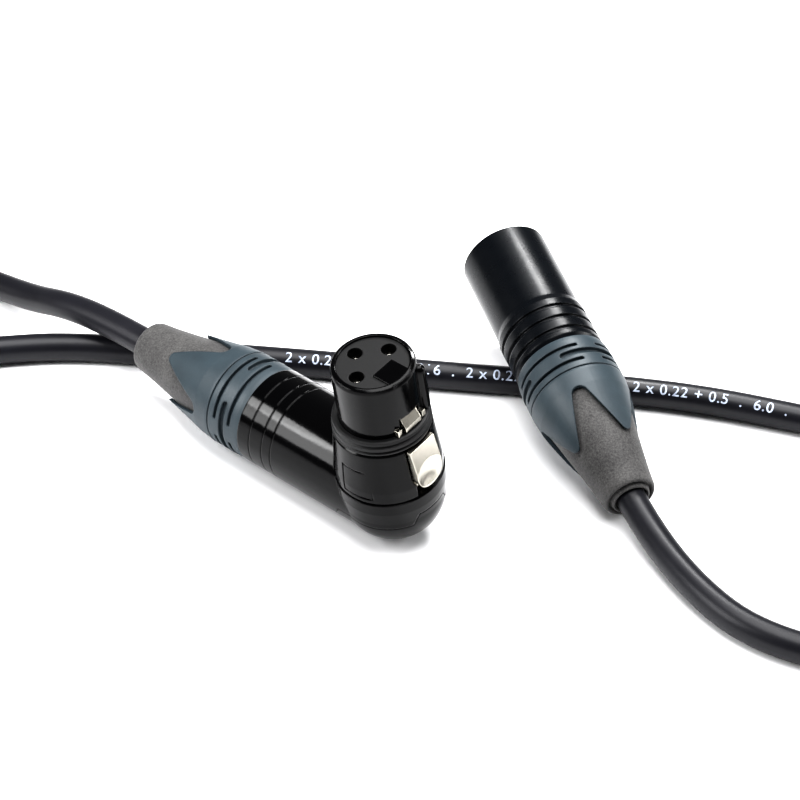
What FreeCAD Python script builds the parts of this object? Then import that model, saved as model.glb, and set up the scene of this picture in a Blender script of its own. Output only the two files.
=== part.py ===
"""Microphone lead: a right-angle female XLR and a straight male XLR on one balanced cable.

Millimetres, +Z up. The lead lies on the plane z = 0. The origin is at the bottom centre of the
box round the two connectors, and +Y points away from the user.
Local frames: female x = along the elbow tube to the boot, z = along the nose; male and strain
relief x = along the axis to the cable, with x = 0 at the bushing's front edge.
"""
import FreeCAD as App, Part
import math
import os

os.makedirs("parts", exist_ok=True)

# ---------------------------------------------------------------- driving dimensions
RUN = 0.05              # radial running clearance of a turning or sliding fit
SEAT = 0.02             # gap between two pieces that seat on each other
GAP = 0.08              # gap round a small piece in its pocket
LOOSE = 0.3             # gap between pieces that only pass each other

CABLE_R = 3.0           # jacket radius of the lead

# standard three-pole contact pattern
PIN_R = 1.2             # male contact pin
PIN_ROOT_R = PIN_R + 0.3
CONTACT_CIRCLE_R = 4.4  # circle through the contacts
SOCKET_BORE_R = PIN_R + 0.02
SOCKET_R = 1.75         # outside of a female contact
CUP_R = 1.25            # solder cup behind each contact
SOCKET_SINK = 2.4       # contacts below the face of the insert

# female nose and head
NOSE_R = 7.95
NOSE_WALL = 1.1
HEAD_LOW = 5.6          # joint between elbow and head, above the cable axis
NOSE_FOOT = HEAD_LOW + 10.6     # lower end of the nose inside the head
SEAL_LOW = NOSE_FOOT + 1.7      # rubber ring round the nose
SEAL_H = 3.1
SEAL_R = NOSE_R + 1.5
NOSE_TOP = SEAL_LOW + SEAL_H + 12.2
FACE_RECESS = 0.35      # insert face below the nose rim
TONGUE_HALF = 2.55      # half width of the shell tongue that keys the insert
TONGUE_IN = 2.4         # tongue's inner end from the nose axis
TONGUE_T = 1.5
RIB_R = 1.25            # polarising rib on the nose
RIB_AZ = 222.0
HEAD_R_TOP = SEAL_R
HEAD_R_LOW = NOSE_R + 2.45
HEAD_WALL = 1.3

# latch
PIVOT_X = -NOSE_R + 0.25
PIVOT_Z = HEAD_LOW + 1.9
PIVOT_PIN_R = 0.6
BARREL_R = 1.35
LATCH_HALF = 2.9        # half width of the room for the latch barrel and its spring
ARM_HALF = 2.1
ARM_T = 1.0
TAB_HALF = 3.3
TAB_OUT = -HEAD_R_LOW - 0.8     # outer face of the push tab
HOOK_LOW = SEAL_LOW + SEAL_H + 0.35
HOOK_TOP = HOOK_LOW + 2.85
HOOK_PROUD = 0.5        # hook above the nose surface
LATCH_TURN = 5.0        # degrees from latched to fully pressed
SPRING_WIRE = 0.13      # radius of the latch spring's wire

# elbow
BALL_R = HEAD_R_LOW - 0.1
TUBE_R = BALL_R - 0.3
TUBE_END = 32.2         # elbow tube, from the nose axis to the bushing
ELBOW_WALL = 1.6
COLLAR_R = HEAD_R_LOW + 0.2     # round the elbow's upper stub
COVER_EDGE = 8.0        # cover's edge under the tube, from the nose axis
COVER_TOP = -1.2
COVER_TOOTH = 1.3       # top of the snap tooth
COVER_TOOTH_HALF = 3.4
PART_GAP = 0.1          # joint line between elbow and cover

# strain relief, the same on both connectors
SPIGOT_R = 7.4          # threaded spigot (thread drawn plain at its outside)
SPIGOT_L = 11.0
SPIGOT_BORE = SPIGOT_R - 1.4
THREAD_PITCH = 1.0
THREAD_TURNS = 4.0
BUSH_R = SPIGOT_R + 2.7
BUSH_FRONT_R = BUSH_R - 0.35
BUSH_L = SPIGOT_L + 1.4         # to the foot of the petal cut-outs
PETAL_TIP = BUSH_L + 11.4
PETAL_PROUD = 0.55
PETAL_TIP_HALF = 1.1    # half width of a petal near its rounded tip
VALLEY_R = 1.7          # foot of the cut-out between two petals
BOOT_L = 35.0           # bushing front to boot mouth
BOOT_R = BUSH_R - 1.1   # boot under the petals
MOUTH_R = CABLE_R + 2.3
SLOT_DEPTH = 0.8
CHUCK_R = SPIGOT_BORE - 0.4
CHUCK_FRONT = 3.0
CHUCK_END = SPIGOT_L + 6.0
CHUCK_CONE_R = CHUCK_R + 1.2
STUB_END = BOOT_L - 2.0  # where the jacket inside the boot becomes the free cable

# male shell
SHELL_L = 33.0
SHELL_BORE = NOSE_R + 0.15
SHELL_R = SHELL_BORE + 1.1
SHELL_REAR_R = SHELL_R + 0.35
SOCKET_DEPTH = 15.0
PIN_RECESS = 1.5        # pin tips behind the shell's rim
INSERT_T = 9.0
GROOVE_W = 0.9
GROOVE_DEPTH = 0.4
GROOVES = (-9.4, -6.3, -3.2)

# inner wires
CORE_R = 0.8
DRAIN_R = 0.5

# layout on the table
FEMALE_AT = (1.6, -28.3)
FEMALE_YAW = 40.7
FEMALE_ROLL = 11.8      # nose leans towards the user
FEMALE_GRIP = 172.0     # turn of the bushing's slot pattern from the male one's
MALE_MOUTH = (47.7, -24.3, 5.9)
MALE_YAW = 21.4
MALE_PITCH = 12.5       # shell end up, because the shell rests on the lead

# put-away coil
COIL_AT = (-155.9, 2.3)
COIL_OUT = 47.5
COIL_IN = 16.5
COIL_LIFT = 0.8
COIL_H = 12.0
TIE_T = 0.7
TIE_W = 12.0

# the free cable's own points, from the female boot to the coil and from the coil to the male boot
FEMALE_RUN = [(-68.5, 31.2, 9.2), (-77.8, 39.2, 5.2), (-91.5, 50.0, CABLE_R),
              (-106.1, 53.6, CABLE_R), (-122.1, 53.0, CABLE_R + 0.3),
              (-138.7, 49.2, COIL_LIFT + CABLE_R), (-156.0, 45.0, COIL_LIFT + CABLE_R),
              (-173.6, 40.4, COIL_LIFT + CABLE_R)]
MALE_RUN = [(-112.6, -6.9, 9.8), (-107.7, 5.9, 8.3), (-98.4, 16.0, 4.5), (-86.1, 22.0, CABLE_R),
            (-67.6, 25.0, CABLE_R), (-47.6, 23.4, CABLE_R), (-19.6, 21.6, CABLE_R),
            (12.4, 18.3, CABLE_R), (42.4, 16.1, CABLE_R), (64.4, 13.2, CABLE_R),
            (84.4, 7.4, CABLE_R), (106.0, 0.6, CABLE_R), (116.5, -8.1, CABLE_R),
            (123.0, -20.2, CABLE_R), (124.3, -33.9, CABLE_R), (120.4, -47.0, CABLE_R),
            (111.7, -57.6, CABLE_R), (99.7, -64.2, CABLE_R), (86.1, -65.7, CABLE_R),
            (72.9, -61.9, CABLE_R), (62.2, -53.4, CABLE_R)]
FIRST_RUN = 13.0        # straight cable from inside each boot


# ---------------------------------------------------------------- helpers
def vec(x, y, z):
    return App.Vector(x, y, z)


def rad(angle):
    return math.radians(angle)


def turned(points, axis, angle=360.0):
    """Solid of revolution of a closed outline (along, radius) about local x or z."""
    if axis == "x":
        corners = [vec(a, 0, r) for a, r in points]
        direction = vec(1, 0, 0)
    else:
        corners = [vec(r, 0, a) for a, r in points]
        direction = vec(0, 0, 1)
    face = Part.Face(Part.makePolygon(corners + corners[:1]))
    solid = face.revolve(vec(0, 0, 0), direction, angle)
    return solid if angle < 360.0 else Part.Solid(Part.Shell(solid.Faces))


def pipe(axis, start, end, outer, inner):
    return turned([(start, inner), (start, outer), (end, outer), (end, inner)], axis)


def rod(axis, start, end, radius, at=(0.0, 0.0)):
    """Plain cylinder along local x or z; at is the axis' place in the other two directions."""
    if axis == "x":
        return Part.makeCylinder(radius, end - start, vec(start, at[0], at[1]), vec(1, 0, 0))
    return Part.makeCylinder(radius, end - start, vec(at[0], at[1], start), vec(0, 0, 1))


def block(low, high):
    return Part.makeBox(high[0] - low[0], high[1] - low[1], high[2] - low[2], vec(*low))


def prism(outline, direction, plane):
    """Closed outline extruded along a direction; plane maps two numbers to a point."""
    corners = [plane(*p) for p in outline]
    return Part.Face(Part.makePolygon(corners + corners[:1])).extrude(direction)


def spun(shape, axis, angle):
    copy = shape.copy()
    copy.rotate(vec(0, 0, 0), vec(1, 0, 0) if axis == "x" else vec(0, 0, 1), angle)
    return copy


def moved(shape, x, y=0.0, z=0.0):
    copy = shape.copy()
    copy.translate(vec(x, y, z))
    return copy


def rounded(shape, radius, chosen):
    edges = [e for e in shape.Edges if chosen(e)]
    return shape.makeFillet(radius, edges) if edges else shape


def on_circle(radius, angle):
    return radius * math.cos(rad(angle)), radius * math.sin(rad(angle))


def bent_tube(points, radius, name=None):
    """Tube along straight runs joined by tangent arcs, each arc 0.45 of the shorter run."""
    points = [vec(*p) for p in points]
    edges, here, radii, length = [], points[0], [], 0.0
    for i in range(1, len(points) - 1):
        before, corner, after = points[i - 1], points[i], points[i + 1]
        d1 = (corner - before).normalize()
        d2 = (after - corner).normalize()
        half = d1.getAngle(d2) / 2
        reach = 0.45 * min(before.distanceToPoint(corner), corner.distanceToPoint(after))
        bend = reach / math.tan(half)
        start, end = corner - d1 * reach, corner + d2 * reach
        middle = corner + (d2 - d1).normalize() * (bend / math.cos(half) - bend)
        edges.append(Part.LineSegment(here, start).toShape())
        edges.append(Part.Arc(start, middle, end).toShape())
        length += here.distanceToPoint(start) + 2 * half * bend
        here = end
        radii.append(bend)
    edges.append(Part.LineSegment(here, points[-1]).toShape())
    length += here.distanceToPoint(points[-1])
    first = (points[1] - points[0]).normalize()
    section = Part.Wire(Part.makeCircle(radius, points[0], first))
    tube = Part.Wire(edges).makePipeShell([section], True, False)
    if name:
        share = tube.Volume / (math.pi * radius ** 2 * length)
        print(name, "length %.1f" % length, "volume share %.4f" % share,
              "bend radii", " ".join("%.0f" % r for r in radii))
    return tube


def frame(origin, x_axis, z_axis):
    """Placement of a local frame from its origin, x and z directions."""
    x_axis = vec(*x_axis).normalize()
    z_axis = (vec(*z_axis) - x_axis * x_axis.dot(vec(*z_axis))).normalize()
    y_axis = z_axis.cross(x_axis)
    return App.Matrix(x_axis.x, y_axis.x, z_axis.x, origin[0], x_axis.y, y_axis.y, z_axis.y,
                      origin[1], x_axis.z, y_axis.z, z_axis.z, origin[2], 0, 0, 0, 1)


NODES = {}


def keep(name, shape, place=None):
    shape = shape.copy() if place is None else shape.transformed(place, True)
    NODES[name] = shape


# ---------------------------------------------------------------- places of the connectors
yaw = rad(FEMALE_YAW)
roll = rad(FEMALE_ROLL)
FEMALE_X = (-math.cos(yaw), math.sin(yaw), 0.0)
FEMALE_Z = (-math.sin(yaw) * math.sin(roll), -math.cos(yaw) * math.sin(roll), math.cos(roll))
FEMALE_LOW = max(BALL_R, BUSH_R)
FEMALE = frame((FEMALE_AT[0], FEMALE_AT[1], FEMALE_LOW), FEMALE_X, FEMALE_Z)

yaw = rad(MALE_YAW)
pitch = rad(MALE_PITCH)
MALE_X = (math.sin(yaw) * math.cos(pitch), -math.cos(yaw) * math.cos(pitch), -math.sin(pitch))
MALE_ORIGIN = [MALE_MOUTH[i] - MALE_X[i] * BOOT_L for i in range(3)]
MALE = frame(MALE_ORIGIN, MALE_X, (0.0, 0.0, 1.0))

FEMALE_TAIL = FEMALE * frame((TUBE_END, 0.0, 0.0), (1, 0, 0), (0, 0, 1))


# ---------------------------------------------------------------- strain relief
def boot_profile(extra=0.0):
    """Outside of the soft boot, from under the bushing to its rounded mouth."""
    return [(BUSH_L - 0.8, BOOT_R + extra), (BOOT_L - 3.0, MOUTH_R + 0.45 + extra),
            (BOOT_L - 0.7, MOUTH_R + extra), (BOOT_L, MOUTH_R - 0.7 + extra)]


def cone_r(along):
    """Radius of the boot's straight cone."""
    (start, foot), (end, top) = boot_profile()[:2]
    return foot + (top - foot) * (along - start) / (end - start)


def make_boot():
    """Soft cone over the chuck, with a bore that the cable passes through."""
    outline = boot_profile() + [(BOOT_L, CABLE_R + LOOSE), (CHUCK_END + 1.5, CABLE_R + LOOSE),
                                (SPIGOT_L + 1.4, CHUCK_CONE_R + LOOSE),
                                (BUSH_L - 0.8, CHUCK_CONE_R + LOOSE)]
    return turned(outline, "x")


def petal_cut(angle):
    """U-shaped cut-out between two petals, open towards the mouth."""
    foot = [(BUSH_L + VALLEY_R * (1 - math.sin(rad(a))), VALLEY_R * math.cos(rad(a)))
            for a in range(165, 0, -15)]
    outside = cone_r(PETAL_TIP) + PETAL_PROUD
    wide = outside * math.sin(rad(45) - PETAL_TIP_HALF / outside)
    edge = [(PETAL_TIP - PETAL_TIP_HALF * (1 - math.sin(rad(a))),
             wide + PETAL_TIP_HALF * (1 - math.cos(rad(a)))) for a in (0, 30, 60)]
    edge += [(PETAL_TIP, outside), (PETAL_TIP + 1.5, outside)]
    outline = foot + edge + [(along, -across) for along, across in reversed(edge)]
    cut = prism(outline, vec(0, 0, BUSH_R + 2), lambda along, across: vec(along, across, 4.0))
    return spun(cut, "x", angle)


def ring_slot(along, width, start, sweep):
    """Round-bottomed slot round the bushing, with rounded ends."""
    middle = BUSH_R - SLOT_DEPTH / 2
    slot = turned([(along - width / 2, BUSH_R - SLOT_DEPTH), (along - width / 2, BUSH_R + 1),
                   (along + width / 2, BUSH_R + 1), (along + width / 2, BUSH_R - SLOT_DEPTH)],
                  "x", sweep)
    ends = [spun(Part.makeCylinder(width / 2, SLOT_DEPTH + 1, vec(along, 0, middle - SLOT_DEPTH / 2),
                                   vec(0, 0, 1)), "x", turn) for turn in (0.0, sweep)]
    return spun(slot.fuse(ends), "x", start)


def make_bushing():
    """Hard screw bushing: threaded bore, grip slots and four petals over the boot."""
    outer = [(0.0, SPIGOT_R + RUN), (0.0, BUSH_FRONT_R), (0.9, BUSH_FRONT_R + 0.15),
             (3.5, BUSH_R), (9.0, BUSH_R), (BUSH_L, BOOT_R + 0.75),
             (PETAL_TIP, cone_r(PETAL_TIP) + PETAL_PROUD), (PETAL_TIP, CHUCK_R),
             (SPIGOT_L + LOOSE, CHUCK_R), (SPIGOT_L + LOOSE, SPIGOT_R + RUN)]
    bushing = turned(outer, "x")
    hollow = turned(boot_profile(SEAT)[:2] + [(BOOT_L - 3.0, 1.0), (BUSH_L - 0.8, 1.0)], "x")
    seat = turned([(SPIGOT_L, CHUCK_CONE_R + LOOSE), (SPIGOT_L, 1.0), (BUSH_L, 1.0),
                   (BUSH_L, CHUCK_CONE_R + LOOSE)], "x")
    bushing = bushing.cut([hollow, seat])
    bushing = bushing.cut([petal_cut(a) for a in (22, 112, 202, 292)])
    slots = []
    for turn in (0, 120, 240):
        slots += [ring_slot(2.6, 0.75, turn, 92), ring_slot(6.4, 0.75, turn, 92),
                  ring_slot(4.5, 1.3, turn + 72, 68)]
    slots.append(pipe("x", 8.15, 8.45, BUSH_R + 1, BUSH_R - 0.25))
    return bushing.cut(slots)


def make_chuck():
    """Four-jaw chuck that the bushing presses onto the jacket."""
    bore = CABLE_R + RUN
    chuck = turned([(CHUCK_FRONT, bore), (CHUCK_FRONT, CHUCK_R), (SPIGOT_L + 0.3, CHUCK_R),
                    (SPIGOT_L + 0.3, CHUCK_CONE_R), (SPIGOT_L + 1.2, CHUCK_CONE_R),
                    (CHUCK_END, CABLE_R + 0.9), (CHUCK_END, bore)], "x")
    slits = [spun(block((CHUCK_FRONT + 3.0, -0.4, 0.5), (CHUCK_END + 1, 0.4, CHUCK_R + 3)),
                  "x", a) for a in (45, 135, 225, 315)]
    return chuck.cut(slits)


def keep_strain_relief(side, place, jacket_from, grip):
    keep(side + "_bushing", spun(make_bushing(), "x", grip), place)
    keep(side + "_boot", make_boot(), place)
    keep(side + "_chuck", make_chuck(), place)
    keep(side + "_jacket_end", rod("x", jacket_from, STUB_END, CABLE_R), place)


def spigot(start):
    return pipe("x", start, SPIGOT_L, SPIGOT_R, SPIGOT_BORE)


# ---------------------------------------------------------------- female connector
def make_nose_shell():
    """Die-cast nose: tube, inner tongue at the key, rib outside and the latch window."""
    rim = 0.8
    tube = turned([(NOSE_FOOT, NOSE_R - NOSE_WALL), (NOSE_FOOT, NOSE_R), (NOSE_TOP - rim, NOSE_R),
                   (NOSE_TOP - rim * 0.3, NOSE_R - rim * 0.3), (NOSE_TOP, NOSE_R - rim),
                   (NOSE_TOP, NOSE_R - NOSE_WALL)], "z")
    tongue = block((-NOSE_R + 0.4, -TONGUE_HALF, NOSE_TOP - TONGUE_T),
                   (-TONGUE_IN, TONGUE_HALF, NOSE_TOP - 0.1))
    rib_x, rib_y = on_circle(NOSE_R + 0.2, RIB_AZ)
    rib_low = SEAL_LOW + SEAL_H + SEAT
    rib_top = NOSE_TOP - 3.2
    rib = rod("z", rib_low, rib_top, RIB_R, (rib_x, rib_y))
    rib = rib.fuse(Part.makeSphere(RIB_R, vec(rib_x, rib_y, rib_top)))
    rib = rib.cut(rod("z", NOSE_FOOT, NOSE_TOP, NOSE_R - NOSE_WALL / 2))
    window = block((-NOSE_R - 1, -ARM_HALF - 0.5, NOSE_FOOT - 1),
                   (-NOSE_R + NOSE_WALL + 1.5, ARM_HALF + 0.5, HOOK_TOP + 0.4))
    return tube.fuse([tongue, rib]).removeSplitter().cut([window, ground_spring(GAP)])


def contact_places():
    return [on_circle(CONTACT_CIRCLE_R, a) for a in (0, 90, 270)]


def make_female_insert():
    """Insulator: three stepped holes, a slot for the tongue and a flat behind the latch."""
    radius = NOSE_R - NOSE_WALL - SEAT
    top = NOSE_TOP - FACE_RECESS
    insert = rod("z", NOSE_FOOT + 0.8, top, radius)
    cuts = [block((-NOSE_R, -TONGUE_HALF - SEAT, NOSE_TOP - TONGUE_T - SEAT),
                  (-TONGUE_IN + SEAT, TONGUE_HALF + SEAT, NOSE_TOP)),
            block((-NOSE_R, -ARM_HALF - 0.5, NOSE_FOOT), (-4.9, ARM_HALF + 0.5, HOOK_TOP + 0.6))]
    for place in contact_places():
        cuts.append(rod("z", top - SOCKET_SINK, top + 1, PIN_R + 0.25, place))
        cuts.append(rod("z", NOSE_FOOT, top - SOCKET_SINK + 0.1, SOCKET_R + SEAT, place))
    return insert.cut(cuts + [ground_spring(GAP)])


def make_socket(place):
    """Turned female contact: split socket above, solder cup below."""
    top = NOSE_TOP - FACE_RECESS - SOCKET_SINK - 0.1
    low = NOSE_FOOT - 4.5
    body = rod("z", NOSE_FOOT + 1.0, top, SOCKET_R, place).fuse(
        rod("z", low, NOSE_FOOT + 1.0, CUP_R, place))
    cup = rod("z", low - 1, low + 2.5, CUP_R - 0.35, place)
    return body.removeSplitter().cut([rod("z", top - 11.0, top + 1, SOCKET_BORE_R, place), cup])


def ground_spring(gap=0.0):
    """Bright C-shaped clip round the insert; its bent ends show beside the hook."""
    low, high = SEAL_LOW + SEAL_H + 0.2 - gap, SEAL_LOW + SEAL_H + 1.5 + gap
    inner, outer = NOSE_R - NOSE_WALL - 0.45, NOSE_R - NOSE_WALL - 0.05
    half = ARM_HALF + 0.65 - gap
    clear = math.degrees(math.asin(half / outer))
    band = spun(turned([(low, inner - gap), (low, outer + gap), (high, outer + gap),
                        (high, inner - gap)], "z", 360 - 2 * clear), "z", 180 + clear)
    tabs = [block((-NOSE_R - 0.1 - gap, y - gap, low), (-inner * 0.9, y + 1.0 + gap, high))
            for y in (half, -half - 1.0)]
    return band.fuse(tabs).removeSplitter()


def make_seal_ring():
    """Rubber ring with two grooves."""
    low, high = SEAL_LOW, SEAL_LOW + SEAL_H
    step = SEAL_H / 5
    outline = [(low, NOSE_R + SEAT), (low, SEAL_R - 0.35), (low + 0.3, SEAL_R),
               (low + step, SEAL_R), (low + 1.5 * step, SEAL_R - 0.5), (low + 2 * step, SEAL_R),
               (low + 3 * step, SEAL_R - 0.1), (low + 3.5 * step, SEAL_R - 0.55),
               (low + 4 * step, SEAL_R - 0.2), (high - 0.15, SEAL_R - 0.35), (high, SEAL_R - 0.8),
               (high, NOSE_R + SEAT)]
    return turned(outline, "z")


def make_head():
    """Head casting between elbow and nose, with the U-shaped pocket of the push tab."""
    low, high = HEAD_LOW + SEAT, SEAL_LOW - SEAT
    bore = NOSE_R + SEAT
    head = turned([(low, HEAD_R_LOW - HEAD_WALL), (low, HEAD_R_LOW - 0.15),
                   (low + 0.4, HEAD_R_LOW), (low + 3.0, HEAD_R_LOW - 0.05),
                   (high - 1.2, HEAD_R_TOP + 0.1), (high - 0.4, HEAD_R_TOP),
                   (high, HEAD_R_TOP - 0.5), (high, bore), (NOSE_FOOT - 0.1, bore),
                   (NOSE_FOOT - 0.1, NOSE_R - NOSE_WALL), (NOSE_FOOT - 0.9, NOSE_R - NOSE_WALL),
                   (NOSE_FOOT - 2.4, HEAD_R_LOW - HEAD_WALL)], "z")
    ears = block((PIVOT_X - 1.9, -LATCH_HALF - 2.2, low), (PIVOT_X + 1.9, LATCH_HALF + 2.2, 10.5))
    head = head.fuse(ears.common(rod("z", low, high, HEAD_R_LOW - 0.3))).removeSplitter()
    half = TAB_HALF + 0.3
    slot = block((-HEAD_R_LOW - 2, -LATCH_HALF - 0.1, PIVOT_Z - BARREL_R - 0.3),
                 (-4.5, LATCH_HALF + 0.1, high + 1))
    pocket = block((-HEAD_R_LOW - 2, -half, PIVOT_Z + 3.4), (PIVOT_X + 0.6, half, high + 1))
    pocket = pocket.fuse(Part.makeCylinder(half, 12, vec(PIVOT_X + 0.6, 0, PIVOT_Z + 3.4),
                                           vec(-1, 0, 0)))
    pin_hole = Part.makeCylinder(PIVOT_PIN_R + SEAT / 2, 2 * LATCH_HALF + 2.8,
                                 vec(PIVOT_X, -LATCH_HALF - 1.4, PIVOT_Z), vec(0, 1, 0))
    panel = block((-4.5, HEAD_R_LOW - 1.05, HEAD_LOW + 1.2), (2.2, HEAD_R_LOW + 1, 13.5))
    frame_line = panel.cut(block((-4.2, 0, HEAD_LOW + 1.5), (1.9, HEAD_R_LOW + 2, 13.2)))
    return head.cut([slot, pocket, pin_hole, frame_line.common(
        pipe("z", HEAD_LOW, 14.0, HEAD_R_LOW + 1, HEAD_R_TOP))])


def make_latch():
    """Cast latch: barrel on its pin, arm inside the nose, hook in the window, push tab outside."""
    barrel = Part.makeCylinder(BARREL_R, LATCH_HALF + ARM_HALF, vec(PIVOT_X, -LATCH_HALF, PIVOT_Z),
                               vec(0, 1, 0))
    arm_out = -NOSE_R + 0.45
    arm = block((arm_out, -ARM_HALF, PIVOT_Z), (arm_out + ARM_T, ARM_HALF, HOOK_TOP - 0.6))
    hook_out = -NOSE_R - HOOK_PROUD
    hook = prism([(arm_out + ARM_T, HOOK_LOW), (hook_out, HOOK_LOW), (hook_out, HOOK_LOW + 1.0),
                  (arm_out + 0.3, HOOK_TOP), (arm_out + ARM_T, HOOK_TOP)],
                 vec(0, 2 * ARM_HALF, 0), lambda x, z: vec(x, -ARM_HALF, z))
    tab_low = PIVOT_Z + 3.4
    tab_high = SEAL_LOW - 0.5
    tab_in = -NOSE_R - 0.8
    face = block((TAB_OUT, -TAB_HALF, tab_low), (tab_in, TAB_HALF, tab_high))
    face = face.fuse(Part.makeCylinder(TAB_HALF, tab_in - TAB_OUT, vec(tab_in, 0, tab_low),
                                       vec(-1, 0, 0))).removeSplitter()
    slope = prism([(TAB_OUT - 1, tab_low - TAB_HALF - 1), (TAB_OUT + 0.2, tab_low - TAB_HALF - 1),
                   (TAB_OUT, tab_low), (-HEAD_R_TOP - 0.35, tab_high + 0.1),
                   (TAB_OUT - 1, tab_high + 0.1)],
                  vec(0, 4 * TAB_HALF, 0), lambda x, z: vec(x, -2 * TAB_HALF, z))
    dish = Part.makeSphere(9.0, vec(TAB_OUT - 8.1, 0, tab_low + 0.8))
    face = face.cut([slope, dish])
    web = block((tab_in - 0.2, -ARM_HALF, PIVOT_Z), (PIVOT_X + 0.3, ARM_HALF, tab_high))
    latch = barrel.fuse([arm, hook, face, web]).removeSplitter()
    bore = Part.makeCylinder(PIVOT_PIN_R + RUN, 4 * LATCH_HALF,
                             vec(PIVOT_X, -2 * LATCH_HALF, PIVOT_Z), vec(0, 1, 0))
    return latch.cut(bore)


def make_latch_spring():
    """Torsion spring on the latch pin: a close coil beside the barrel and one long leg."""
    radius = PIVOT_PIN_R + SPRING_WIRE + SEAT
    first = ARM_HALF + SPRING_WIRE + SEAT
    step = 1.6 * SPRING_WIRE
    rings = [Part.makeTorus(radius, SPRING_WIRE, vec(PIVOT_X, first + step * k, PIVOT_Z),
                            vec(0, 1, 0)) for k in range(3)]
    leg = Part.makeCylinder(0.9 * SPRING_WIRE, 4.2,
                            vec(PIVOT_X + radius, first + 2 * step, PIVOT_Z + SEAT), vec(0, 0, 1))
    return rings[0].fuse(rings[1:] + [leg])


def elbow_solid(shrink=0.0):
    """Elbow's outer form, or its hollow when shrunk by the wall."""
    ball = Part.makeSphere(BALL_R - shrink)
    tube = rod("x", 0.0, TUBE_END if shrink == 0 else TUBE_END + 1, TUBE_R - shrink)
    stub = turned([(0.0, 0.0), (0.0, BALL_R - shrink), (3.0, COLLAR_R - shrink),
                   (HEAD_LOW + (2 if shrink else 0), COLLAR_R - shrink),
                   (HEAD_LOW + (2 if shrink else 0), 0.0)], "z")
    room = rod("z", HEAD_LOW + (2 if shrink else 0), 3 * BALL_R, HEAD_R_LOW + SEAT)
    return ball.fuse([tube, stub]).removeSplitter().cut(room)


def cover_zone(gap):
    """Space below the joint line; the tooth stands up at the end under the latch."""
    far = 3 * BALL_R
    low = -2 * BALL_R
    base = prism([(-far, low), (COVER_EDGE - gap, low), (COVER_EDGE - gap, COVER_TOP - 4.0),
                  (COVER_EDGE - 2.5 - gap, COVER_TOP - gap), (-far, COVER_TOP - gap)],
                 vec(0, 2 * far, 0), lambda x, z: vec(x, -far, z))
    top, foot = COVER_TOOTH_HALF - gap, COVER_TOOTH_HALF + 1.2 - gap
    tooth = prism([(-foot, COVER_TOP - 2), (foot, COVER_TOP - 2), (foot, COVER_TOP - gap),
                   (top, COVER_TOOTH - gap), (-top, COVER_TOOTH - gap), (-foot, COVER_TOP - gap)],
                  vec(far, 0, 0), lambda y, z: vec(-far, y, z))
    tooth = tooth.common(block((-far, -far, low), (-BALL_R + 4.0, far, far)))
    return base.fuse(tooth).removeSplitter()


def make_elbow():
    """Elbow housing with its tube, three turned lines and the threaded spigot."""
    lines = [pipe("x", at, at + 0.18, TUBE_R + 1, TUBE_R - 0.15) for at in
             (TUBE_END - 3.2, TUBE_END - 6.6, TUBE_END - 9.0)]
    shell = elbow_solid().cut([elbow_solid(ELBOW_WALL)] + lines)
    end_ring = pipe("x", TUBE_END - 2.0, TUBE_END, TUBE_R - 0.5, SPIGOT_BORE)
    shell = shell.fuse([end_ring, moved(spigot(-2.0), TUBE_END)]).removeSplitter()
    return shell.cut(cover_zone(0.0))


def make_cover():
    """Snap-on bottom of the elbow, under the contacts' solder side."""
    shell = elbow_solid().cut(elbow_solid(ELBOW_WALL))
    return shell.common(cover_zone(PART_GAP))


def keep_female():
    keep("female_nose_shell", make_nose_shell(), FEMALE)
    keep("female_insert", make_female_insert(), FEMALE)
    for number, place in enumerate(contact_places(), 1):
        keep("female_contact_%d" % number, make_socket(place), FEMALE)
    keep("female_ground_spring", ground_spring(), FEMALE)
    keep("female_seal_ring", make_seal_ring(), FEMALE)
    keep("female_latch", make_latch(), FEMALE)
    keep("female_latch_pin", Part.makeCylinder(PIVOT_PIN_R, 2 * LATCH_HALF + 2.6,
                                               vec(PIVOT_X, -LATCH_HALF - 1.3, PIVOT_Z),
                                               vec(0, 1, 0)), FEMALE)
    keep("female_latch_spring", make_latch_spring(), FEMALE)
    keep("female_head", make_head(), FEMALE)
    keep("female_elbow", make_elbow(), FEMALE)
    keep("female_elbow_cover", make_cover(), FEMALE)
    start = TUBE_END + 1.4
    cup_low = NOSE_FOOT - 4.5 - SEAT
    places = contact_places()
    leads = (("female_wire_return", CORE_R, places[0], (0.0, 1.5)),
             ("female_wire_signal", CORE_R, places[1], (1.3, -0.7)),
             ("female_wire_drain", DRAIN_R, places[2], (-1.3, -0.7)))
    for name, radius, (cx, cy), (y, z) in leads:
        path = [(start, y, z), (start - 11.0, y * 1.6, z), (cx + 5.5, cy, z - 0.5), (cx, cy, z + 3.0),
                (cx, cy, cup_low)]
        keep(name, bent_tube(path, radius), FEMALE)
    keep_strain_relief("female", FEMALE_TAIL, 1.5, FEMALE_GRIP)


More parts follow.
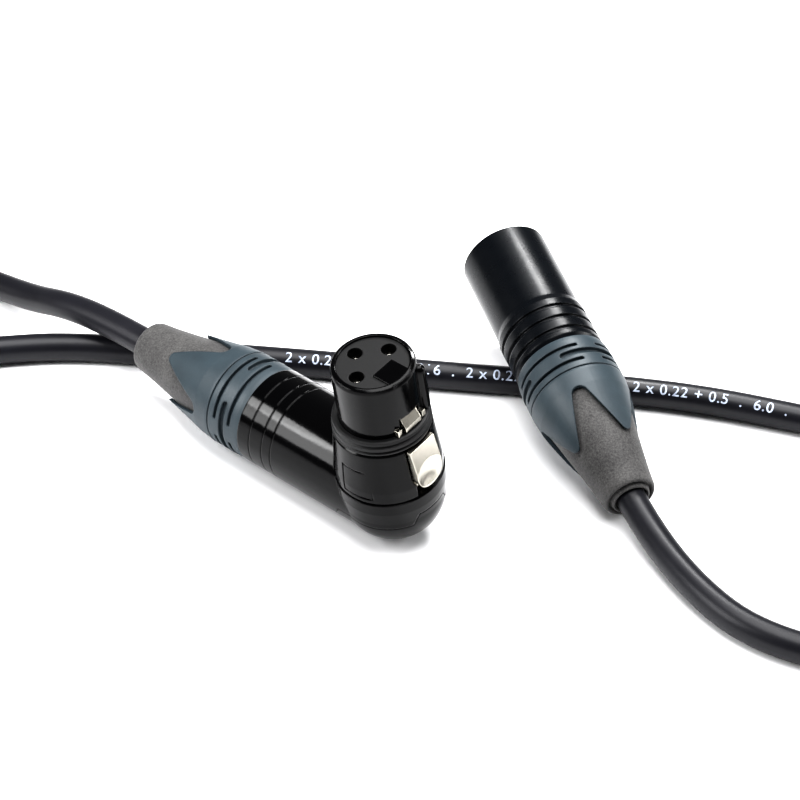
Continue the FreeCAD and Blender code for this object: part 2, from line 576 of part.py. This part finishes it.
# ---------------------------------------------------------------- male connector
def make_male_shell():
    """Die-cast shell: socket bore, insert bore, ring grooves, latch recess and spigot."""
    bore_end = -SHELL_L + SOCKET_DEPTH + INSERT_T
    shell = turned([(-SHELL_L, SHELL_BORE), (-SHELL_L, SHELL_R - 0.35), (-SHELL_L + 0.35, SHELL_R),
                    (-12.5, SHELL_R), (-11.0, SHELL_REAR_R), (-1.2, SHELL_REAR_R),
                    (-0.25, SHELL_REAR_R - 0.6), (-0.25, SPIGOT_R), (SPIGOT_L, SPIGOT_R),
                    (SPIGOT_L, SPIGOT_BORE), (bore_end, SPIGOT_BORE),
                    (bore_end, SHELL_BORE)], "x")
    grooves = [pipe("x", at, at + GROOVE_W, SHELL_REAR_R + 1, SHELL_REAR_R - GROOVE_DEPTH)
               for at in GROOVES]
    boss = block((-15.6, SHELL_R - 0.6, -1.7), (-12.8, SHELL_R + 0.35, 1.7))
    boss = rounded(boss, 0.3, lambda e: e.CenterOfMass.y > SHELL_R)
    recess = block((-20.6, SHELL_BORE - 1.5, -2.1), (-18.2, SHELL_BORE + 0.65, 2.1))
    return shell.cut(grooves).fuse(boss).removeSplitter().cut(recess)


def pin_places():
    """Contacts as (y, z); the free place of the pattern faces local +y, the key side."""
    return [on_circle(CONTACT_CIRCLE_R, a) for a in (180, 90, 270)]


def make_male_insert():
    front = -SHELL_L + SOCKET_DEPTH
    insert = rod("x", front, front + INSERT_T - SEAT, SHELL_BORE - SEAT)
    return insert.cut([rod("x", front - 1, front + INSERT_T + 1, PIN_ROOT_R + SEAT, p)
                       for p in pin_places()])


def make_pin(place):
    """Turned pin: round tip, wider root in the insert and a solder cup behind it."""
    tip = -SHELL_L + PIN_RECESS
    front = -SHELL_L + SOCKET_DEPTH
    back = front + INSERT_T
    pin = rod("x", tip + PIN_R, front + 1.0, PIN_R, place)
    pin = pin.fuse([Part.makeSphere(PIN_R, vec(tip + PIN_R, place[0], place[1])),
                    rod("x", front + 0.1, back + 3.5, PIN_ROOT_R, place)]).removeSplitter()
    return pin.cut(rod("x", back + 1.5, back + 5, PIN_ROOT_R - 0.4, place))


def make_male_ground():
    """Spring strip from the insert along the wall of the bore."""
    front = -SHELL_L + SOCKET_DEPTH
    strip = turned([(front - 5.0, SHELL_BORE - 0.45), (front - 5.0, SHELL_BORE - 0.1),
                    (front - SEAT, SHELL_BORE - 0.1), (front - SEAT, SHELL_BORE - 0.45)],
                   "x", 22.0)
    return spun(strip, "x", 120)


def keep_male():
    keep("male_shell", make_male_shell(), MALE)
    keep("male_insert", make_male_insert(), MALE)
    for number, place in enumerate(pin_places(), 1):
        keep("male_pin_%d" % number, make_pin(place), MALE)
    keep("male_ground_strip", make_male_ground(), MALE)
    back = -SHELL_L + SOCKET_DEPTH + INSERT_T + 3.5 + SEAT
    places = pin_places()
    leads = (("male_wire_return", CORE_R, places[0], (-1.4, 0.0)),
             ("male_wire_signal", CORE_R, places[1], (0.7, 1.3)),
             ("male_wire_drain", DRAIN_R, places[2], (0.7, -1.3)))
    for name, radius, (cy, cz), (y, z) in leads:
        path = [(1.4, y, z), (0.2, y, z), (back + 1.4, cy, cz), (back, cy, cz)]
        keep(name, bent_tube(path, radius), MALE)
    keep_strain_relief("male", MALE, 1.5, 0.0)


# ---------------------------------------------------------------- free cable
def along(place, distance):
    point = place.multVec(vec(distance, 0, 0))
    return (point.x, point.y, point.z)


def keep_cable():
    start = [along(FEMALE_TAIL, STUB_END), along(FEMALE_TAIL, STUB_END + FIRST_RUN)]
    keep("cable_female_run", bent_tube(start + FEMALE_RUN, CABLE_R, "cable_female_run"))
    end = [along(MALE, STUB_END + FIRST_RUN), along(MALE, STUB_END)]
    keep("cable_male_run", bent_tube(MALE_RUN + end, CABLE_R, "cable_male_run"))
    print("first and last points", start, end)
    low, high, soft = COIL_LIFT, COIL_LIFT + COIL_H, 2.0
    ring = turned([(low, COIL_IN + soft), (low, COIL_OUT - soft), (low + soft, COIL_OUT),
                   (high - soft, COIL_OUT), (high, COIL_OUT - soft), (high, COIL_IN + soft),
                   (high - soft, COIL_IN), (low + soft, COIL_IN)], "z")
    keep("cable_coil", moved(ring, COIL_AT[0], COIL_AT[1]))
    gap = 0.08
    inner = block((-COIL_OUT - gap, -TIE_W, low - gap), (-COIL_IN + 1.6, TIE_W, high + gap))
    outer = block((-COIL_OUT - gap - TIE_T, -TIE_W / 2, low - gap - TIE_T),
                  (-COIL_IN + 1.6 + TIE_T, TIE_W / 2, high + gap + TIE_T))
    keep("coil_tie", moved(outer.cut(inner), COIL_AT[0], COIL_AT[1]))


keep_female()
keep_male()
keep_cable()

for name, shape in NODES.items():
    if not shape.isValid():
        print("not valid:", name)
    if len(shape.Solids) == 0:
        print("no solid:", name)
    shape.exportStep(os.path.join("parts", name + ".step"))
print(len(NODES), "nodes")
own = [s for n, s in NODES.items() if not n.startswith(("cable_", "coil_"))]
box = own[0].BoundBox
for shape in own[1:]:
    box.add(shape.BoundBox)
print("connectors' box x %.2f..%.2f y %.2f..%.2f z %.2f..%.2f" % (
    box.XMin, box.XMax, box.YMin, box.YMax, box.ZMin, box.ZMax))


def report(name, place, point, direction, note):
    """Print a point and a direction of a local frame in the lead's own frame."""
    at = place.multVec(vec(*point))
    way = place.multVec(vec(*point) + vec(*direction)) - at
    print(name, "at %.4f %.4f %.4f" % (at.x, at.y, at.z), "axis %.6f %.6f %.6f" % (way.x, way.y, way.z),
          note)


report("latch hinge", FEMALE, (PIVOT_X, 0, PIVOT_Z), (0, 1, 0), "0..%.1f degrees" % LATCH_TURN)
screw = "%.0f turns of %.2f" % (THREAD_TURNS, THREAD_PITCH)
report("female bushing", FEMALE_TAIL, (0, 0, 0), (1, 0, 0), screw)
report("male bushing", MALE, (0, 0, 0), (1, 0, 0), screw)
for number, (x, y) in enumerate(contact_places(), 1):
    report("female contact %d" % number, FEMALE, (x, y, NOSE_TOP - FACE_RECESS - SOCKET_SINK - 0.1), (0, 0, 1),
           "radius %.2f depth 11" % SOCKET_BORE_R)
for number, (y, z) in enumerate(pin_places(), 1):
    report("male pin %d" % number, MALE, (-SHELL_L + PIN_RECESS, y, z), (-1, 0, 0),
           "radius %.2f" % PIN_R)
report("nose face", FEMALE, (0, 0, NOSE_TOP), (0, 0, 1), "radius %.2f" % NOSE_R)
report("male shell rim", MALE, (-SHELL_L, 0, 0), (-1, 0, 0), "bore radius %.2f" % SHELL_BORE)
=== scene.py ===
import bpy
import math
from mathutils import Matrix, Vector


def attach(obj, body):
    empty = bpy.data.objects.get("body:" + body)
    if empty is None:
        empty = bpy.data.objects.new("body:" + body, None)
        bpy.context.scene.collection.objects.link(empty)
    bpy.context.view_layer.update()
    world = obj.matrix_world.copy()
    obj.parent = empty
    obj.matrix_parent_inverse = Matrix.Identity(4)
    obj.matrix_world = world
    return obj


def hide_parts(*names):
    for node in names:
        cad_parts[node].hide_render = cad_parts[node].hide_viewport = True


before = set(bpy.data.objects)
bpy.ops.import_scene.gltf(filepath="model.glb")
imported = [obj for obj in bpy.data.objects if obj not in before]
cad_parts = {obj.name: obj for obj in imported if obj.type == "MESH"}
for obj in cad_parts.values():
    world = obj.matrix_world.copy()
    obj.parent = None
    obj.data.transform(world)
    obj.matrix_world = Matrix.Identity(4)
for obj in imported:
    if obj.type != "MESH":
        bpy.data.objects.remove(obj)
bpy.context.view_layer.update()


# ---------------------------------------------------------------- camera
# A long lens looks down at the connectors from the front, about 36 degrees above the table.
CAMERA_PLACE = (0.0024, -0.3783, 0.2877)
CAMERA_TILT, CAMERA_ROLL = math.radians(53.7), math.radians(1.81)
camera_data = bpy.data.cameras.new("camera")
camera_data.lens = 104.9
camera_data.sensor_width = 36.0
camera_data.clip_start = 0.01
camera = bpy.data.objects.new("camera", camera_data)
bpy.context.scene.collection.objects.link(camera)
camera.matrix_world = (Matrix.Translation(CAMERA_PLACE)
                       @ Matrix.Rotation(CAMERA_TILT, 4, "X")
                       @ Matrix.Rotation(CAMERA_ROLL, 4, "Z"))
bpy.context.scene.camera = camera


# ---------------------------------------------------------------- microphone cable
# One 6 mm round lead with a soft black PVC jacket, extruded over two cores and a screen.
# It runs from the female boot to the put-away windings and back past the connectors to the
# male boot, lying on the table under its own weight.
CABLE_R = 0.003
MM = 1000   # millimetres in a metre


def linear(colour):
    """sRGB hex to the linear colour that a shader takes."""
    parts = [int(colour[i:i + 2], 16) / 255 for i in (1, 3, 5)]
    return [c / 12.92 if c <= 0.04045 else ((c + 0.055) / 1.055) ** 2.4 for c in parts] + [1.0]


def add_node(tree, kind, settings=None, inputs=None):
    """Add a node; an input is a value, or another node's output to link."""
    node = tree.nodes.new(kind)
    for name, value in (settings or {}).items():
        setattr(node, name, value)
    for name, value in (inputs or {}).items():
        socket = node.inputs[name]
        if isinstance(value, bpy.types.NodeSocket):
            tree.links.new(value, socket)
        else:
            socket.default_value = value
    return node


def start_material(name, **shader_values):
    """New material with its Principled shader set; returns material, tree, shader and place."""
    material = bpy.data.materials.new(name)
    material.use_nodes = True
    tree = material.node_tree
    shader = tree.nodes["Principled BSDF"]
    for socket, value in shader_values.items():
        shader.inputs[socket.replace("_", " ")].default_value = value
    place = add_node(tree, "ShaderNodeTexCoord")
    return material, tree, shader, place.outputs["Object"]


def add_noise(tree, place, scale, detail):
    return add_node(tree, "ShaderNodeTexNoise",
                    inputs={"Vector": place, "Scale": scale, "Detail": detail})


def add_bump(tree, shader, height, strength, distance, edge=None):
    """Relief on the shader's normal, over rounded edges where an edge node is given."""
    inputs = {"Height": height, "Strength": strength, "Distance": distance}
    if edge:
        inputs["Normal"] = edge.outputs["Normal"]
    bump = add_node(tree, "ShaderNodeBump", inputs=inputs)
    tree.links.new(bump.outputs["Normal"], shader.inputs["Normal"])


def add_roughness(tree, shader, value, low, high):
    """Roughness that varies from low to high with a value from 0 to 1."""
    spread = add_node(tree, "ShaderNodeMapRange",
                      inputs={"Value": value, "To Min": low, "To Max": high})
    tree.links.new(spread.outputs["Result"], shader.inputs["Roughness"])


def add_colours(tree, shader, factor, first, second):
    """Base colour mixed from two linear colours."""
    mix = add_node(tree, "ShaderNodeMix", {"data_type": "RGBA"}, {"Factor": factor})
    mix.inputs["A"].default_value = first
    mix.inputs["B"].default_value = second
    tree.links.new(mix.outputs["Result"], shader.inputs["Base Color"])


def metres(points):
    return [Vector((x / MM, y / MM, z / MM)) for x, y, z in points]


# the female end, straight out of the boot and down onto the table
female_points = metres([
    (-47.83, 14.22, 10.3), (-57.69, 22.69, 10.3), (-68.5, 31.2, 9.2), (-77.8, 39.2, 5.2),
    (-91.5, 50.0, 3.0), (-106.1, 53.6, 3.0), (-122.1, 53.0, 3.3), (-138.7, 49.2, 3.8),
    (-156.0, 45.0, 3.8), (-173.6, 40.4, 3.8)])

# the windings: inwards along the table, up one layer, and outwards on top
COIL_X, COIL_Y = -155.9, 2.3        # middle of the coil, in mm
LOWER, UPPER = 3.8, 9.8             # heights of the two layers, in mm
WINDING_STEP = 19.95                # degrees from one point to the next
winding = []
angle, reach = 115.0, 42.0          # where the windings begin, in degrees and mm
# each stretch: number of points, growth of the radius in mm a turn, first and last height
for steps, growth, low, high in ((56, -6.1, LOWER, LOWER), (10, -5.8, LOWER, UPPER),
                                 (71, 6.2, UPPER, UPPER)):
    for step in range(1, steps + 1):
        angle += WINDING_STEP
        reach += growth * WINDING_STEP / 360.0
        winding.append((COIL_X + reach * math.cos(math.radians(angle)),
                        COIL_Y + reach * math.sin(math.radians(angle)),
                        low + (high - low) * step / steps))
coil_points = metres(winding)

# from the windings back under the male shell, round to the right and into the male boot
male_points = metres([
    (-112.6, -6.9, 9.8), (-107.7, 5.9, 8.3), (-98.4, 16.0, 4.5), (-86.1, 22.0, 3.0),
    (-67.6, 25.0, 3.0), (-47.6, 23.4, 3.0), (-19.6, 21.6, 3.0), (12.4, 18.3, 3.0),
    (42.4, 16.1, 3.0), (64.4, 13.2, 3.0), (84.4, 7.4, 3.0), (106.0, 0.6, 3.0),
    (116.5, -8.1, 3.0), (123.0, -20.2, 3.0), (124.3, -33.9, 3.0), (120.4, -47.0, 3.0),
    (111.7, -57.6, 3.0), (99.7, -64.2, 3.0), (86.1, -65.7, 3.0), (72.9, -61.9, 3.0),
    (62.2, -53.4, 3.0), (51.62, -34.30, 3.52), (46.99, -22.48, 6.33)])

route = female_points + coil_points + male_points
cable_curve = bpy.data.curves.new("microphone_cable", "CURVE")
cable_curve.dimensions = "3D"
spline = cable_curve.splines.new("NURBS")
spline.points.add(len(route) - 1)
for point, place in zip(spline.points, route):
    point.co = (*place, 1.0)
spline.order_u = 3
spline.use_endpoint_u = True
spline.resolution_u = 6
cable_curve.twist_smooth = 8
cable = bpy.data.objects.new("microphone_cable", cable_curve)
bpy.context.scene.collection.objects.link(cable)
line_mesh = bpy.data.meshes.new_from_object(cable)
centre_line = [v.co.copy() for v in line_mesh.vertices]
bpy.data.meshes.remove(line_mesh)
cable_curve.bevel_depth = CABLE_R
cable_curve.bevel_resolution = 6

# extruded PVC: near black with a faint violet cast, a satin skin and slight handling haze
jacket, tree, shader, place = start_material("pvc_jacket_satin", Specular_IOR_Level=0.32,
                                             Sheen_Weight=0.05, Sheen_Roughness=0.5)
haze = add_noise(tree, place, 90.0, 4.0).outputs["Fac"]
add_colours(tree, shader, haze, linear("#0e0e13"), linear("#18181f"))
add_roughness(tree, shader, haze, 0.32, 0.46)
# melt texture of the extruded skin, grain about 0.3 mm
grain = add_noise(tree, place, 3000.0, 2.0)
add_bump(tree, shader, grain.outputs["Fac"], 0.12, 0.00005)
cable_curve.materials.append(jacket)
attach(cable, "lead")
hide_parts("cable_female_run", "cable_coil", "cable_male_run")


# ---------------------------------------------------------------- marks on the jacket
# Bluish white ink printed along the lead: core count and size, and a metre count.
ink, tree, shader, place = start_material("jacket_ink", Roughness=0.55)
wear = add_noise(tree, place, 1600.0, 3.0)
worn = add_node(tree, "ShaderNodeMapRange",
                inputs={"Value": wear.outputs["Fac"], "From Min": 0.35, "From Max": 0.62})
add_colours(tree, shader, worn.outputs["Result"], linear("#8c93a3"), linear("#bcc6d6"))

LETTER_SIZE = 0.0032
LETTER_WEIGHT = 0.00003             # how far the strokes are thickened
LETTER_MIDDLE = 0.0011              # height of a figure's middle above its base line
PRINT_SIDE = math.radians(34)       # how far the line of print is turned from the top
PRINT_LIFT = 0.00004                # thickness of the ink
VISIBLE_Z, VISIBLE_Y = 0.0045, -0.002   # bounds of the run that carries the print

print_marks = []
# each text, and the x in mm at which its stretch begins and ends
for text, first, last in (
        ("2 x 0.22", -24.0, -9.0),
        ("0016  .  2 x 0.22 + 0.5  .  6.0  .  2 x 0.22 + 0.5  .  6.0  .", 2.0, 104.0)):
    stretch = [p for p in centre_line
               if p.z < VISIBLE_Z and p.y > VISIBLE_Y and first / MM < p.x < last / MM]
    bpy.ops.object.select_all(action="DESELECT")
    bpy.ops.object.text_add()
    letters = bpy.context.object
    letters.data.body = text
    letters.data.size = LETTER_SIZE
    letters.data.offset = LETTER_WEIGHT
    letters.data.space_character = 1.1
    bpy.ops.object.convert(target="MESH")
    letters.name = "jacket_print_%d" % (len(print_marks) + 1)
    for vertex in letters.data.vertices:
        along, up = vertex.co.x, vertex.co.y
        index = 0
        while index < len(stretch) - 2 and along > (stretch[index + 1] - stretch[index]).length:
            along -= (stretch[index + 1] - stretch[index]).length
            index += 1
        direction = (stretch[index + 1] - stretch[index]).normalized()
        turn = PRINT_SIDE - (up - LETTER_MIDDLE) / CABLE_R
        outward = (Vector((0, 0, 1)) * math.cos(turn)
                   + direction.cross(Vector((0, 0, 1))) * math.sin(turn))
        vertex.co = stretch[index] + direction * along + outward * (CABLE_R + PRINT_LIFT)
    letters.data.materials.append(ink)
    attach(letters, "lead")
    print_marks.append(letters)


# ---------------------------------------------------------------- strain relief boots
# A soft rubber cone on each connector, moulded with a fine grain. It slips over the jacket
# and is held under the petals of the screw bushing.
def local_frame(origin, x_axis, z_axis):
    """Place of a connector's own frame, from its origin, x and z directions."""
    x_axis = Vector(x_axis).normalized()
    z_axis = (Vector(z_axis) - x_axis * x_axis.dot(Vector(z_axis))).normalized()
    turn = Matrix((x_axis, z_axis.cross(x_axis), z_axis)).transposed().to_4x4()
    return Matrix.Translation(Vector(origin) / MM) @ turn


FEMALE_TAIL = local_frame((-22.8119, -7.3024, 10.3), (-0.758134, 0.652098, 0.0),
                          (-0.133352, -0.155035, 0.978867))
MALE = local_frame((35.232, 7.5145, 13.4754), (0.356228, -0.908986, -0.216440), (0, 0, 1))


def turned_piece(name, rings, sides, place):
    """Extrude a circle from ring to ring, (along, radius) in mm, and put it in a local frame."""
    bpy.ops.object.select_all(action="DESELECT")
    bpy.ops.mesh.primitive_circle_add(vertices=sides, radius=rings[0][1] / MM,
                                      location=(0, 0, rings[0][0] / MM))
    bpy.ops.object.transform_apply(location=True)
    piece = bpy.context.object
    piece.name = name
    bpy.ops.object.mode_set(mode="EDIT")
    bpy.ops.mesh.select_all(action="SELECT")
    for (before, old), (after, new) in zip(rings, rings[1:]):
        bpy.ops.mesh.extrude_region_move(
            TRANSFORM_OT_translate={"value": (0, 0, (after - before) / MM)})
        bpy.ops.transform.resize(value=(new / old, new / old, 1),
                                 center_override=(0, 0, after / MM))
    bpy.ops.mesh.select_all(action="SELECT")
    bpy.ops.mesh.normals_make_consistent(inside=False)
    bpy.ops.object.mode_set(mode="OBJECT")
    piece.data.transform(place @ Matrix.Rotation(math.radians(90), 4, "Y"))
    for polygon in piece.data.polygons:
        polygon.use_smooth = True
    return piece


def apply_all(piece):
    bpy.context.view_layer.objects.active = piece
    for modifier in list(piece.modifiers):
        bpy.ops.object.modifier_apply(modifier=modifier.name)


# soft TPU, warm dark grey, moulded with a grain of about 0.4 mm that stays matt
rubber, tree, shader, place = start_material(
    "tpu_boot_grained", Roughness=0.7, Specular_IOR_Level=0.4,
    Sheen_Weight=0.15, Sheen_Roughness=0.4)
speckle = add_noise(tree, place, 2600.0, 3.0)
speckle.inputs["Roughness"].default_value = 0.7
cloud = add_noise(tree, place, 110.0, 2.0)
both = add_node(tree, "ShaderNodeMath", {"operation": "MULTIPLY_ADD"},
                {0: speckle.outputs["Fac"], 1: 1.6, 2: cloud.outputs["Fac"]})
tone = add_node(tree, "ShaderNodeMapRange",
                inputs={"Value": both.outputs["Value"], "From Min": 0.85, "From Max": 1.75})
add_colours(tree, shader, tone.outputs["Result"], linear("#201f20"), linear("#585756"))
add_bump(tree, shader, speckle.outputs["Fac"], 0.6, 0.0001)

for side, place, body in (("female", FEMALE_TAIL, "female_bushing_body"),
                          ("male", MALE, "male_bushing_body")):
    boot = turned_piece("%s_soft_boot" % side, [
        (11.8, 7.3), (11.8, 8.95), (13.5, 8.68), (16, 8.25), (19, 7.75), (22, 7.25), (25, 6.75),
        (28, 6.25), (31, 5.78), (33, 5.55), (34.1, 5.45), (34.8, 5.2), (35, 4.85), (34.8, 4.5),
        (34.2, 4.35), (34.2, 4.05), (35.2, 3.98), (35.6, 3.7), (35.5, 3.35), (34.6, 3.25),
        (33, 3.25), (18.5, 3.35), (12.4, 7.1), (11.8, 7.3)], 48, place)
    merge = boot.modifiers.new("weld", "WELD")
    merge.merge_threshold = 0.00001
    soft = boot.modifiers.new("smooth", "SUBSURF")
    soft.levels = soft.render_levels = 1
    apply_all(boot)
    boot.data.materials.append(rubber)
    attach(boot, body)
    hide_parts("%s_boot" % side)


# ---------------------------------------------------------------- screw bushings
# Glass-filled polyamide rings in slate blue-grey, moulded with grip slots and four petals,
# and screwed onto the spigot of each connector.
slate, tree, shader, place = start_material("polyamide_bushing_satin", Roughness=0.45,
                                            Specular_IOR_Level=0.35)
edge = add_node(tree, "ShaderNodeBevel", {"samples": 6}, {"Radius": 0.0004})
mould = add_noise(tree, place, 2200.0, 3.0)
add_bump(tree, shader, mould.outputs["Fac"], 0.18, 0.00008, edge)
flow = add_noise(tree, place, 220.0, 4.0)
add_colours(tree, shader, flow.outputs["Fac"], linear("#2a3237"), linear("#384349"))


def dress(material, *names):
    """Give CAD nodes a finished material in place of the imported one."""
    for name in names:
        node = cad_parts[name]
        node.data.materials.clear()
        node.data.materials.append(material)


dress(slate, "female_bushing", "male_bushing")


# ---------------------------------------------------------------- connector housings
# Zinc castings with a deep gloss black coating: the elbow with its snap cover and head, the
# nose, and the straight shell of the male connector.
for name, colour, rough, nodes in (
        ("gloss_black_coating", "#040405", 0.08,
         ("female_elbow", "female_elbow_cover", "female_head", "female_nose_shell")),
        ("satin_black_coating", "#0a0d11", 0.24, ("male_shell",))):
    coating, tree, shader, place = start_material(name, Roughness=rough, IOR=1.5,
                                                  Specular_IOR_Level=0.18)
    shader.inputs["Base Color"].default_value = linear(colour)
    edge = add_node(tree, "ShaderNodeBevel", {"samples": 6}, {"Radius": 0.0004})
    # orange peel of the sprayed coat, waves 1.5 mm apart and very shallow
    peel = add_noise(tree, place, 650.0, 1.0)
    add_bump(tree, shader, peel.outputs["Fac"], 0.06, 0.0002, edge)
    dust = add_noise(tree, place, 400.0, 5.0)
    add_roughness(tree, shader, dust.outputs["Fac"], rough, rough + 0.08)
    dress(coating, *nodes)


# ---------------------------------------------------------------- latch, springs and contacts
# Bright nickel plate on the cast latch and its springs, silver plate on the contacts.
for name, colour, rough, nodes in (
        ("bright_nickel_plate", "#c3bfb5", 0.2,
         ("female_latch", "female_ground_spring", "male_ground_strip",
          "female_latch_pin", "female_latch_spring")),
        ("silver_plate", "#dcd9d2", 0.2,
         ("female_contact_1", "female_contact_2", "female_contact_3",
          "male_pin_1", "male_pin_2", "male_pin_3"))):
    plate, tree, shader, place = start_material(name, Metallic=1.0, Roughness=rough)
    shader.inputs["Base Color"].default_value = linear(colour)
    edge = add_node(tree, "ShaderNodeBevel", {"samples": 6}, {"Radius": 0.00025})
    polish = add_noise(tree, place, 900.0, 3.0)
    add_bump(tree, shader, polish.outputs["Fac"], 0.08, 0.0001, edge)
    add_roughness(tree, shader, polish.outputs["Fac"], rough, rough + 0.1)
    dress(plate, *nodes)


# ---------------------------------------------------------------- insulators, seal and inner pieces
# Moulded black inserts, the rubber ring, the white acetal chucks, and the cores inside.
for name, colour, rough, grain_scale, nodes in (
        ("polyamide_insert_moulded", "#0b0b0c", 0.5, 1800.0, ("female_insert", "male_insert")),
        ("nitrile_rubber_ring", "#161617", 0.5, 1200.0, ("female_seal_ring",)),
        ("acetal_chuck_natural", "#e6e3da", 0.4, 1500.0, ("female_chuck", "male_chuck")),
        ("core_insulation_red", "#a3261f", 0.35, 1500.0,
         ("female_wire_signal", "male_wire_signal")),
        ("core_insulation_white", "#deddd8", 0.35, 1500.0,
         ("female_wire_return", "male_wire_return")),
        ("tinned_copper_drain", "#b98f6d", 0.4, 2500.0,
         ("female_wire_drain", "male_wire_drain"))):
    stuff, tree, shader, place = start_material(name, Roughness=rough, Specular_IOR_Level=0.35)
    edge = add_node(tree, "ShaderNodeBevel", {"samples": 4}, {"Radius": 0.0002})
    noise = add_noise(tree, place, grain_scale, 3.0)
    add_bump(tree, shader, noise.outputs["Fac"], 0.15, 0.00008, edge)
    base = linear(colour)[:3]
    add_colours(tree, shader, noise.outputs["Fac"], [c * 0.85 for c in base] + [1.0],
                [min(1.0, c * 1.15) for c in base] + [1.0])
    dress(stuff, *nodes)
dress(jacket, "female_jacket_end", "male_jacket_end")


# ---------------------------------------------------------------- strap round the windings
# A woven hook-and-loop strap, 12 mm wide, closed round the coil's left side.
bpy.ops.object.select_all(action="DESELECT")
bpy.ops.mesh.primitive_circle_add(vertices=64, radius=0.01)
strap = bpy.context.object
strap.name = "hook_and_loop_strap"
STRAP_MIDDLE = (-0.1879, -0.0037, 0.0071)       # the middle of its first edge
STRAP_HALF_WIDE, STRAP_HALF_HIGH = 0.0162, 0.0064
SQUARENESS = 0.35                               # 1 is an ellipse, towards 0 is a rectangle
for vertex in strap.data.vertices:
    angle = math.atan2(vertex.co.y, vertex.co.x)
    c, s = math.cos(angle), math.sin(angle)
    vertex.co = (STRAP_MIDDLE[0] + math.copysign(abs(c) ** SQUARENESS, c) * STRAP_HALF_WIDE,
                 STRAP_MIDDLE[1],
                 STRAP_MIDDLE[2] + math.copysign(abs(s) ** SQUARENESS, s) * STRAP_HALF_HIGH)
bpy.ops.object.mode_set(mode="EDIT")
bpy.ops.mesh.select_all(action="SELECT")
for part in range(6):
    bpy.ops.mesh.extrude_region_move(TRANSFORM_OT_translate={"value": (0, 0.002, 0)})
bpy.ops.mesh.select_all(action="SELECT")
bpy.ops.mesh.normals_make_consistent(inside=False)
bpy.ops.object.mode_set(mode="OBJECT")
thick = strap.modifiers.new("thickness", "SOLIDIFY")
thick.thickness = 0.0006
thick.offset = 1.0
soft = strap.modifiers.new("smooth", "SUBSURF")
soft.levels = soft.render_levels = 1
apply_all(strap)
for polygon in strap.data.polygons:
    polygon.use_smooth = True
# polyester webbing, black, threads about 1 mm apart with a short loop pile
webbing, tree, shader, place = start_material("polyester_strap_woven", Roughness=0.9,
                                              Sheen_Weight=0.4)
threads = add_node(tree, "ShaderNodeTexWave", {"bands_direction": "Y"},
                   {"Vector": place, "Scale": 320.0, "Distortion": 1.5, "Detail": 2.0})
cross = add_node(tree, "ShaderNodeTexWave", {"bands_direction": "DIAGONAL"},
                 {"Vector": place, "Scale": 260.0, "Distortion": 1.0})
weave = add_node(tree, "ShaderNodeMath", {"operation": "MULTIPLY"},
                 {0: threads.outputs["Fac"], 1: cross.outputs["Fac"]})
add_colours(tree, shader, weave.outputs["Value"], linear("#131314"), linear("#2b2b2e"))
add_bump(tree, shader, weave.outputs["Value"], 0.6, 0.0001)
strap.data.materials.append(webbing)
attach(strap, "lead")
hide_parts("coil_tie")


# ---------------------------------------------------------------- table and light
# A white table under a large softbox, with a strip at each side and two small spots for the
# bright glints on the elbow and on the ring grooves.
bpy.ops.object.select_all(action="DESELECT")
bpy.ops.mesh.primitive_plane_add(size=6.0)
table = bpy.context.object
table.name = "table"
paper, tree, shader, place = start_material("white_paper", Roughness=0.85)
fibre = add_node(tree, "ShaderNodeTexNoise", inputs={"Vector": place, "Scale": 20.0})
add_colours(tree, shader, fibre.outputs["Fac"], linear("#f2f2f3"), linear("#f6f6f7"))
table.data.materials.append(paper)

for name, width, height, power, place, target in (
        ("softbox_top", 0.8, 0.9, 16.0, (0.05, 0.05, 1.0), (0, 0, 0)),
        ("spot_elbow", 0.05, 0.04, 0.1, (-0.15, -0.023, 0.122), (-0.021, -0.018, 0.017)),
        ("spot_grooves", 0.05, 0.03, 0.25, (0.06, 0.115, 0.17), (0.033, 0.012, 0.024)),
        ("softbox_left", 0.3, 0.5, 4.5, (-0.8, -0.25, 0.45), (0, 0, 0.02)),
        ("softbox_right", 0.25, 0.5, 4.0, (0.85, 0.1, 0.4), (0, 0, 0.02))):
    light = bpy.data.lights.new(name, "AREA")
    light.shape = "RECTANGLE"
    light.size, light.size_y, light.energy = width, height, power
    lamp = bpy.data.objects.new(name, light)
    bpy.context.scene.collection.objects.link(lamp)
    towards = (Vector(target) - Vector(place)).to_track_quat("-Z", "Y")
    lamp.matrix_world = Matrix.Translation(place) @ towards.to_matrix().to_4x4()
sky = bpy.data.worlds.new("studio")
sky.use_nodes = True
sky.node_tree.nodes["Background"].inputs["Color"].default_value = (1, 1, 1, 1)
sky.node_tree.nodes["Background"].inputs["Strength"].default_value = 0.2
bpy.context.scene.world = sky
bpy.context.scene.view_settings.view_transform = "Standard"
bpy.context.scene.view_settings.look = "High Contrast"
